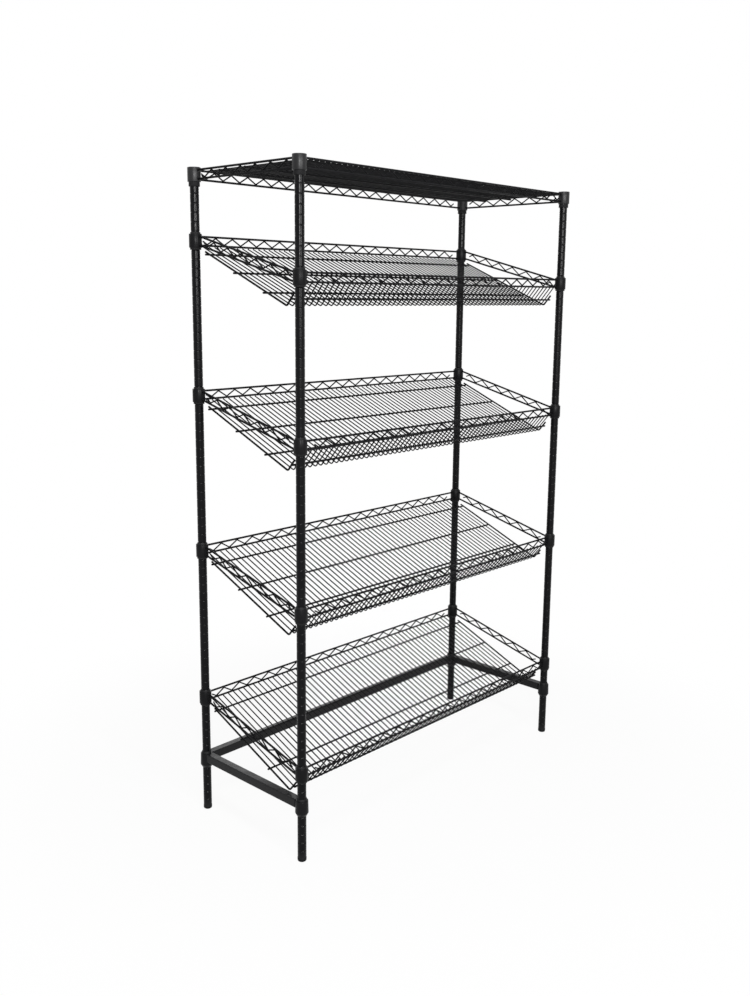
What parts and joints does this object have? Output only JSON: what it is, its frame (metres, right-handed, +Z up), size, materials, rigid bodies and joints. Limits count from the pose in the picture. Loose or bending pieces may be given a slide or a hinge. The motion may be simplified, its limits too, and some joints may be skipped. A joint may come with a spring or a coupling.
{
  "type": "bread display rack",
  "caption": "Wire display rack with grooved posts, a flat top shelf, slanted wire baskets with upturned front lips and an open-fronted base frame.",
  "frame": {"origin": "on the floor, midway between the four posts", "axes": "+X to the right along the front, +Y to the back, +Z up"},
  "size_m": [1.233, 0.466, 1.907],
  "materials": {
    "black_coating": "black epoxy powder coat, satin",
    "grey_coating": "dark grey powder coat, matte",
    "black_plastic": "moulded black plastic, satin"
  },
  "bodies": {
    "rack": {"post_front_left": "black_coating", "foot_front_left": "black_plastic", "post_cap_front_left": "black_plastic", "top_sleeve_front_left": "black_plastic", "basket_1_sleeve_front_left": "black_plastic", "basket_2_sleeve_front_left": "black_plastic", "basket_3_sleeve_front_left": "black_plastic", "basket_4_sleeve_front_left": "black_plastic", "base_sleeve_front_left": "black_plastic", "base_collar_front_left": "grey_coating", "post_front_right": "black_coating", "foot_front_right": "black_plastic", "post_cap_front_right": "black_plastic", "top_sleeve_front_right": "black_plastic", "basket_1_sleeve_front_right": "black_plastic", "basket_2_sleeve_front_right": "black_plastic", "basket_3_sleeve_front_right": "black_plastic", "basket_4_sleeve_front_right": "black_plastic", "base_sleeve_front_right": "black_plastic", "base_collar_front_right": "grey_coating", "post_back_left": "black_coating", "foot_back_left": "black_plastic", "post_cap_back_left": "black_plastic", "top_sleeve_back_left": "black_plastic", "basket_1_sleeve_back_left": "black_plastic", "basket_2_sleeve_back_left": "black_plastic", "basket_3_sleeve_back_left": "black_plastic", "basket_4_sleeve_back_left": "black_plastic", "base_sleeve_back_left": "black_plastic", "base_collar_back_left": "grey_coating", "post_back_right": "black_coating", "foot_back_right": "black_plastic", "post_cap_back_right": "black_plastic", "top_sleeve_back_right": "black_plastic", "basket_1_sleeve_back_right": "black_plastic", "basket_2_sleeve_back_right": "black_plastic", "basket_3_sleeve_back_right": "black_plastic", "basket_4_sleeve_back_right": "black_plastic", "base_sleeve_back_right": "black_plastic", "base_collar_back_right": "grey_coating", "base_bar_left": "grey_coating", "base_bar_right": "grey_coating", "base_bar_back": "grey_coating"},
    "top_shelf": {"top_frame": "black_coating", "top_deck": "black_coating"},
    "basket_1_shelf": {"basket_1_frame": "black_coating", "basket_1_deck": "black_coating"},
    "basket_2_shelf": {"basket_2_frame": "black_coating", "basket_2_deck": "black_coating"},
    "basket_3_shelf": {"basket_3_frame": "black_coating", "basket_3_deck": "black_coating"},
    "basket_4_shelf": {"basket_4_frame": "black_coating", "basket_4_deck": "black_coating"}
  },
  "joints": [
    {"name": "top_lift", "type": "slide", "parent": "rack", "child": "top_shelf", "axis": [0, 0, 1], "range_m": [0, 0.0508]},
    {"name": "basket_1_lift", "type": "slide", "parent": "rack", "child": "basket_1_shelf", "axis": [0, 0, 1], "range_m": [0, 0.0508]},
    {"name": "basket_2_lift", "type": "slide", "parent": "rack", "child": "basket_2_shelf", "axis": [0, 0, 1], "range_m": [0, 0.0508]},
    {"name": "basket_3_lift", "type": "slide", "parent": "rack", "child": "basket_3_shelf", "axis": [0, 0, 1], "range_m": [0, 0.0508]},
    {"name": "basket_4_lift", "type": "slide", "parent": "rack", "child": "basket_4_shelf", "axis": [0, 0, 1], "range_m": [0, 0.0508]}
  ]
}
